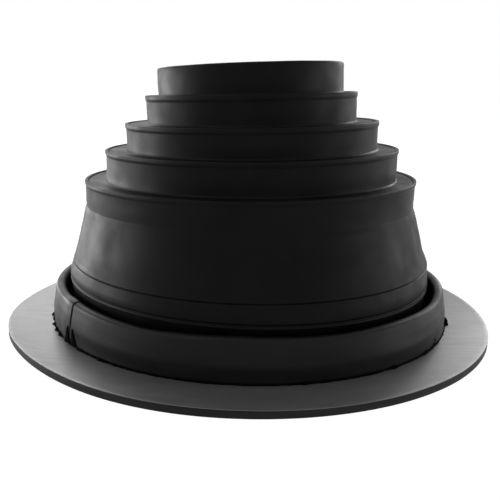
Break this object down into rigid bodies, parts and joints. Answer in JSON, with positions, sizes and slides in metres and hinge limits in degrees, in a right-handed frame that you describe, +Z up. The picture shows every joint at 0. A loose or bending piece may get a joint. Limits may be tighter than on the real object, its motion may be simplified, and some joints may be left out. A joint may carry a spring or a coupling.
{
  "type": "pipe flashing boot",
  "caption": "Stepped rubber pipe boot on a round sheet flange, cut to a ring that grips the pipe where it comes through a roof.",
  "frame": {"origin": "centre of the flange's underside, on the pipe's axis", "axes": "+Z up the pipe's axis, from the flange to the smallest ring; -Y is the front, with the collar's splice towards -X"},
  "size_m": [0.3, 0.3, 0.1606],
  "materials": {
    "sheet_rubber": "satin sheet rubber",
    "moulded_rubber": "moulded rubber, dull with a soft sheen",
    "strip_rubber": "smooth folded rubber strip",
    "adhesive": "dark squeezed-out adhesive"
  },
  "bodies": {
    "root": {"flange": "sheet_rubber", "sleeve": "moulded_rubber", "collar": "strip_rubber", "splice_adhesive": "adhesive", "foot_bead": "adhesive", "groove_bond": "adhesive"}
  },
  "joints": []
}
